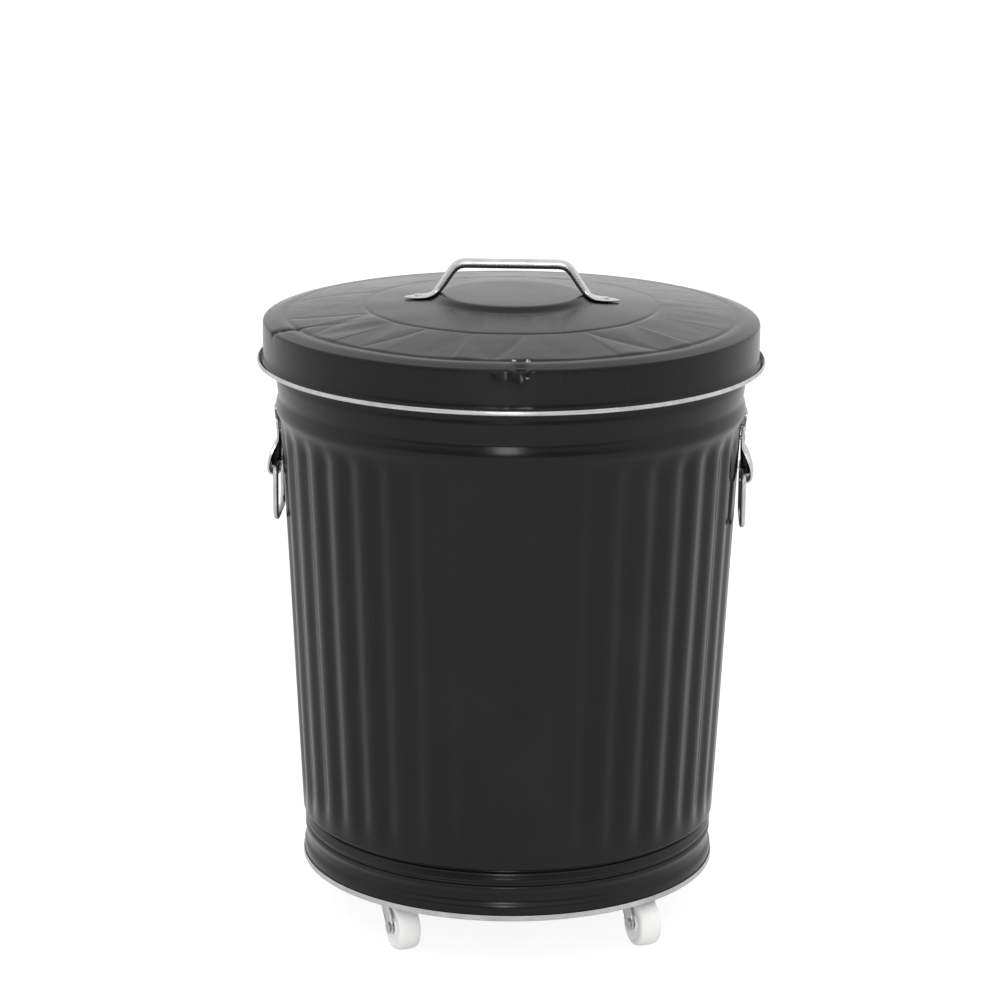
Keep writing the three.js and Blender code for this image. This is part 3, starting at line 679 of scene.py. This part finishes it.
# Crown, corner and skirt outside, then the same inside, one sheet further in.
def lidSkin():
    angle = (np.arange(lid["columns"]) / lid["columns"] * tau)[None, :]
    t, reach = lid["sheet"], lid["corner"]
    crown = rowsOver(crownRows)
    crownZ = crownHeight(crown, angle)
    bend = np.radians(np.linspace(72, 0, 6))[:, None]
    skirtZ, skirtR = np.array(lidSkirt).T[:, :, None]
    skirt = skirtR + 0.25 * waviness(angle, skirtZ, 31) * ease(skirtZ, 452, 470)

    def corner(r):
        radius, height = lid["skirt"] - reach + r * np.cos(bend), lid["cornerHeight"] + r * np.sin(bend)
        return radius + 0 * angle, height + 0 * angle

    def flipped(part, step=1):
        return [values[::-1][::step] for values in part]

    parts = [(crown + 0 * angle, crownZ), corner(reach), (skirt, skirtZ + 0 * angle),
             flipped((skirt - t, skirtZ + 0 * angle)), flipped(corner(reach - t)),
             flipped((crown + 0 * angle, crownZ - t), 4)]
    radius, height = [np.concatenate(column) for column in zip(*parts)]
    points = roundZ(radius, angle, height)
    wear = chipWear(points)
    return skin(knocked(points), poles=True), np.concatenate([wear[0, :1], wear[-1, :1], wear[1:-1].ravel()])


lidPart, lidWear = lidSkin()
makePiece("pleatedLid", [lidPart], coatFinish, "lid", ["lid_shell"], sharpAngle=60,
          weights={"wear": lidWear})

# section of the rolled rim, as (radius, height)
rimCorners = [(195.7, 449.9), (198.4, 449.85), (199.7, 450.5), (199.95, 451.8), (199.6, 453), (199, 453.6),
              (198.5, 453.3), (198.75, 451.9), (198.2, 450.8), (195.9, 450.75)]
makePiece("lidRim", [turned(rounded(rimCorners, 0.5, 3), 480)], zincFinish, "lid", ["lid_rim"])
print("lid made")


handle = {"samples": 150, "sides": 28}
# half of the rod: distance from the middle, height, half width, half thickness
handleStations = [(0, 526.2, 3.6, 3.85), (36, 526.15, 3.6, 3.85), (40.5, 525.5, 3.6, 3.8), (43.6, 523.9, 3.6, 3.7),
                  (46.2, 521.4, 3.5, 3.5), (56.6, 506.4, 3.4, 3.2), (59.5, 503, 4, 2.7), (63, 500.8, 6.2, 2),
                  (67, 499.8, 8.2, 1.45), (71.5, 499.3, 8.1, 1.2), (76, 498.9, 6.4, 1.1), (80, 498.65, 4.2, 1),
                  (83, 498.4, 2.2, 0.9), (84.4, 498.25, 0.9, 0.6)]


# Rod along a flat path in the XZ plane whose round section flattens into a paddle at each foot.
def handleSkin():
    stations = np.array(handleStations)
    full = np.vstack([stations[:0:-1] * [-1, 1, 1, 1], stations])
    along = lengthAlong(full[:, :2])
    at = np.linspace(0, along[-1], handle["samples"])
    x, z, wide, thick = [throughKnots(at, along, full[:, k]) for k in range(4)]
    turn = np.linspace(0, tau, handle["sides"], endpoint=False)
    sections = np.stack([wide[:, None] * np.cos(turn), thick[:, None] * np.sin(turn)], axis=-1)
    return carried(np.stack([x, 0 * x, z], axis=-1), sections, (0, 1, 0))


makePiece("rodHandle", [handleSkin()], brightFinish, "lid", ["lid_handle"])


# Domed rivet with its axis on Z: head over 0, shank below, upset end.
def rivetSkin(rivet, segments=20):
    head, shank, grip = rivet["head"], rivet["shank"], rivet["grip"]
    dome = head * rivet["rise"]
    turn = np.radians(np.linspace(90, 0, 7))
    top = np.stack([head * np.cos(turn), dome * np.sin(turn)], axis=-1)
    rest = [(head, -0.02), (shank, -0.05), (shank, -grip), (head * 0.75, -grip - 0.05),
            (head * 0.5, -grip - dome * 0.5), (0, -grip - dome * 0.6)]
    return turned(np.vstack([top, rest]), segments, poles=True)


padRivet = {"head": 3.5, "shank": 1.9, "grip": 4.6, "rise": 0.22, "reach": 73.0, "height": 500.35}
for side, label in ((1, "right"), (-1, "left")):
    part = placed(rivetSkin(padRivet), 0, (side * padRivet["reach"], 0, padRivet["height"]))
    makePiece(f"padRivet_{label}", [part], brightFinish, "lid", [f"lid_rivet_{label}"])
print("handle made")


bracket = {"halfTurn": 0.114, "thickness": 1.4, "columns": 26, "steps": 60}
# inner face of the bracket from the top of the strap round the hood, as (radius, height)
bracketFace = [(185.7, 411.5), (185.3, 408.5), (184.5, 403), (183.8, 396), (183.5, 390), (183.7, 386), (185.2, 381.8),
               (187.4, 377.6), (189.6, 372.4), (191, 367.4), (191.4, 364), (191.1, 361.2), (190, 359.6), (188.2, 358.9),
               (186, 359.1), (184.2, 360), (183.3, 361.2)]


# Sheet of constant gauge that follows bracketFace and wraps round the body; it is narrower over the
# strap, draws in at the top, and is closed at its two sides by strips between the faces.
def bracketSkin(side):
    along = lengthAlong(np.array(bracketFace))
    at = np.linspace(0, along[-1], bracket["steps"])
    line = np.stack([throughKnots(at, along, np.array(bracketFace)[:, k]) for k in range(2)], axis=-1)
    ahead = np.gradient(line, axis=0)
    ahead /= np.linalg.norm(ahead, axis=1, keepdims=True)
    outer = line + bracket["thickness"] * np.stack([-ahead[:, 1], ahead[:, 0]], axis=-1)
    radius, level = np.vstack([line, outer[::-1]]).T
    share = np.linspace(-1, 1, bracket["columns"])[:, None]
    spread = 0.9 + 0.1 * ease(-level, -384, -372) - 0.3 * ease(level, 400, 411.5)
    vertices, walls = skin(roundZ(radius, share * bracket["halfTurn"] * spread, level))
    count = 2 * bracket["steps"]
    strip = np.arange(bracket["steps"] - 1)
    a, b = strip, count - 1 - strip
    sideStrip = np.stack([a, a + 1, b - 1, b], axis=-1)
    lastStrip = (sideStrip + (bracket["columns"] - 1) * count)[:, ::-1]
    return onSide((vertices, walls + [sideStrip, lastStrip]), side)


bail = {"radius": 2.2, "pivotRadius": 184.2, "pivotHeight": 364.2, "halfWidth": 28, "drop": 41, "endGap": 4,
        "upper": 5, "lower": 10, "endScale": 0.75, "sides": 18}


# Wire path in the YZ plane: turned-in end, quarter bend, leg, quarter bend, bottom, and back up.
def bailSkin(side):
    width, drop, upper, lower = bail["halfWidth"], bail["drop"], bail["upper"], bail["lower"]
    quarter = np.linspace(0, np.pi / 2, 9)

    def straight(start, end, count):
        return np.linspace(start, end, count, endpoint=False)

    shoulder = np.stack([width - upper + upper * np.sin(quarter), -upper + upper * np.cos(quarter)], axis=-1)
    corner = np.stack([width - lower + lower * np.cos(quarter), lower - drop - lower * np.sin(quarter)], axis=-1)
    half = np.vstack([straight((bail["endGap"], 0), (width - upper, 0), 6), shoulder,
                      straight((width, -upper - 0.5), (width, lower - drop), 12), corner,
                      straight((width - lower - 0.5, -drop), (0.3, -drop), 6)])
    y, z = np.vstack([half, half[::-1] * [-1, 1]]).T
    path = np.stack([0 * y, y, z], axis=-1) + [bail["pivotRadius"], 0, bail["pivotHeight"]]
    turn = np.linspace(0, tau, bail["sides"], endpoint=False)
    scale = np.ones(len(path))
    scale[0] = scale[-1] = bail["endScale"]
    sections = bail["radius"] * scale[:, None, None] * np.stack([np.cos(turn), np.sin(turn)], axis=-1)
    return onSide(carried(path, sections, (1, 0, 0)), side)


# seat: radius under the head at seatHeight, growing by slope with the height
bracketRivet = {"head": 3.6, "shank": 1.8, "grip": 4.6, "rise": 0.16, "heights": {"a": 389.5, "b": 398.5},
                "seat": 185.15, "seatHeight": 387, "slope": 0.6 / 17}
for side, label in ((1, "right"), (-1, "left")):
    makePiece(f"bailBracket_{label}", [bracketSkin(side)], zincFinish, "can", [f"bracket_{label}"])
    makePiece(f"wireBail_{label}", [bailSkin(side)], zincFinish, f"{label}_bail", [f"bail_{label}"])
    for letter, height in bracketRivet["heights"].items():
        seat = bracketRivet["seat"] + (height - bracketRivet["seatHeight"]) * bracketRivet["slope"]
        onWall = placed(laid(rivetSkin(bracketRivet), [(0, 0, -1), (0, 1, 0), (1, 0, 0)]), 0, (seat, 0, height))
        makePiece(f"bracketRivet_{label}_{letter}", [onSide(onWall, side)], zincFinish, "can",
                  [f"bracket_rivet_{label}_{letter}"])
print("brackets and bails made")


caster = {
    "circle": 134, "firstAngle": 51, "trailAngle": -65, "trail": 17, "wheel": 18.62, "half": 9, "axle": 3,
    "depth": 42, "width": 50, "cut": 5, "gauge": 1.6, "crown": 13.4, "eye": 6.2, "gap": 0.35,
    "plateTop": 51.65, "plateGauge": 2, "raceDrop": 3.65, "axleHeight": 18.635, "legGap": 0.9,
}
plateBottom = caster["plateTop"] - caster["plateGauge"]
raceBottom = plateBottom - caster["raceDrop"]
yokeTop = raceBottom - caster["gap"]
legInner = caster["half"] + caster["legGap"]
legOuter = legInner + caster["gauge"]


# Top plate: rectangle with cut corners.
def plateSkin():
    x, y, cut = caster["depth"] / 2, caster["width"] / 2, caster["cut"]
    corners = [(x, cut - y), (x, y - cut), (x - cut, y), (cut - x, y),
               (-x, y - cut), (-x, cut - y), (cut - x, -y), (x - cut, -y)]
    return slabSkin(rounded(corners, 4, 5), plateBottom, caster["plateTop"])


# each face of the bend: where it starts, how far out it reaches, its height and how far it drops
yokeBend = {"outer": (7.2, legOuter - 0.1, yokeTop - 0.1, 3.2), "inner": (7.0, legInner, yokeTop - 1.5, 2.6),
            "stations": (-7.4, -7.2, 8.9, 9.2)}


# Bent shoulder between the yoke's crown and a leg: a quarter arc of the sheet, y out and z down, carried along x.
def yokeShoulder(side):
    arc = np.radians(np.linspace(0, 90, 6))

    def quarterArc(start, reach, height, drop):
        return np.stack([start + (reach - start) * np.sin(arc), height - drop * (1 - np.cos(arc))], axis=-1)

    y, z = np.concatenate([quarterArc(*yokeBend["outer"]), quarterArc(*yokeBend["inner"])[::-1]]).T
    x = np.array(yokeBend["stations"])[:, None]
    return endsClosed(np.stack([x + 0 * y, side * y + 0 * x, z + 0 * x], axis=-1))


# Stamped yoke: round crown, two legs that lean back to the axle eye, and the shoulders between them.
def yokeSkins():
    turn = np.linspace(0, tau, 40, endpoint=False)
    gauge, eye, trail, axleHeight = caster["gauge"], caster["eye"], caster["trail"], caster["axleHeight"]
    crown = slabSkin(caster["crown"] * np.stack([np.cos(turn), np.sin(turn)], axis=-1), yokeTop - gauge, yokeTop, 0.6)
    corners = [(-7.5, yokeTop - 0.3), (-7.3, yokeTop - 6), (trail - eye * 0.95, axleHeight - eye * 0.4),
               (trail, axleHeight - eye * 1.05), (trail + eye, axleHeight - eye * 0.3),
               (trail + eye * 0.75, axleHeight + eye * 0.75), (9.5, yokeTop - 0.3)]
    leg = upright(slabSkin(rounded(corners, [0.8, 3, 5, 4, 4, 6, 0.8], 7), 0, gauge, 0.4), 1)
    legs = [placed(leg, 0, (0, offset, 0)) for offset in (-legOuter, legInner)]
    return [crown, *legs, yokeShoulder(-1), yokeShoulder(1)]


# Barrel wheel turned round Z: slightly crowned tread, rounded shoulders, dished hub and a boss.
def wheelSkin():
    half, radius = caster["half"], caster["wheel"]
    face = [(3.5, half - 0.3), (6.2, half - 0.1), (6.8, half - 1.2), (13.2, half - 1.4), (14.2, half - 0.1),
            (15.4, half), (17.4, half - 0.9), (radius - 0.45, half - 3.2), (radius - 0.05, half - 6)]
    under = [(r, -z) for r, z in face]
    return turned(rounded(under + [(radius, 0)] + face[::-1], 1.2, 4), 64)


# Axle on Z: domed head at one end and a riveted one at the other.
def axleSkin():
    outer, shank = legOuter + caster["gap"], caster["axle"]
    profile = [(0, -outer - 1.6), (2.6, -outer - 1.4), (4.2, -outer - 0.5), (4.2, -outer), (shank, -outer),
               (shank, outer), (4.2, outer), (4.2, outer + 1.2), (3.4, outer + 1.5), (1.4, outer + 0.9),
               (0, outer + 0.8)]
    return turnedSolid(profile, 28, 0.3)


# Ball race under the plate: a flared ring.
def raceSkin():
    seat = plateBottom - caster["gap"]
    corners = [(3.7, raceBottom), (10.6, raceBottom), (12, raceBottom + 0.9), (12.9, plateBottom - 0.9),
               (12.9, seat), (3.7, seat)]
    return turned(rounded(corners, 0.5, 4), 48)


# Kingpin through race and crown, its head below the crown.
def pinSkin():
    low, high = yokeTop - caster["gauge"] - caster["gap"], caster["plateTop"] - 0.2
    return turnedSolid([(0, low - 1.6), (4.8, low - 1.3), (5.5, low), (3, low), (3, high), (0, high)], 28, 0.4)


# rivets from under the plate up through the pan's floor
plateRivet = {"head": 3.4, "shank": 1.7, "grip": 53.15 - (plateBottom - caster["gap"]), "rise": 0.42,
              "places": {"a": (14, 18), "b": (-14, 18), "c": (-14, -18), "d": (14, -18)}}
for number in range(1, 5):
    angle = np.radians(caster["firstAngle"] + 90 * (number - 1))
    trail = np.radians(caster["trailAngle"])
    at = (caster["circle"] * np.cos(angle), caster["circle"] * np.sin(angle), 0)
    swivel = f"caster_{number}_swivel"

    def onAxle(part):
        across = laid(part, [(1, 0, 0), (0, 0, 1), (0, -1, 0)])
        return placed(placed(across, 0, (caster["trail"], 0, caster["axleHeight"])), trail, at)

    for name, part, replaced in (("casterPlate", plateSkin(), "caster_plate"),
                                 ("swivelRace", raceSkin(), "caster_race"),
                                 ("swivelPin", pinSkin(), "kingpin")):
        makePiece(f"{name}_{number}", [placed(part, angle, at)], brightFinish, "can",
                  [f"{replaced}_{number}"])
    for letter, (x, y) in plateRivet["places"].items():
        stud = laid(rivetSkin(plateRivet, 16), [(1, 0, 0), (0, -1, 0), (0, 0, -1)])
        part = placed(placed(stud, 0, (x, y, plateBottom - caster["gap"])), angle, at)
        makePiece(f"plateRivet_{number}_{letter}", [part], zincFinish, "can",
                  [f"plate_rivet_{number}_{letter}"])
    yoke = [placed(part, trail, at) for part in yokeSkins()]
    makePiece(f"casterFork_{number}", yoke, brightFinish, swivel, [f"fork_{number}"])
    makePiece(f"wheelAxle_{number}", [onAxle(axleSkin())], zincFinish, swivel, [f"axle_{number}"])
    makePiece(f"casterWheel_{number}", [onAxle(wheelSkin())], nylonFinish, f"caster_{number}_wheel",
              [f"wheel_{number}"])
print("casters made")
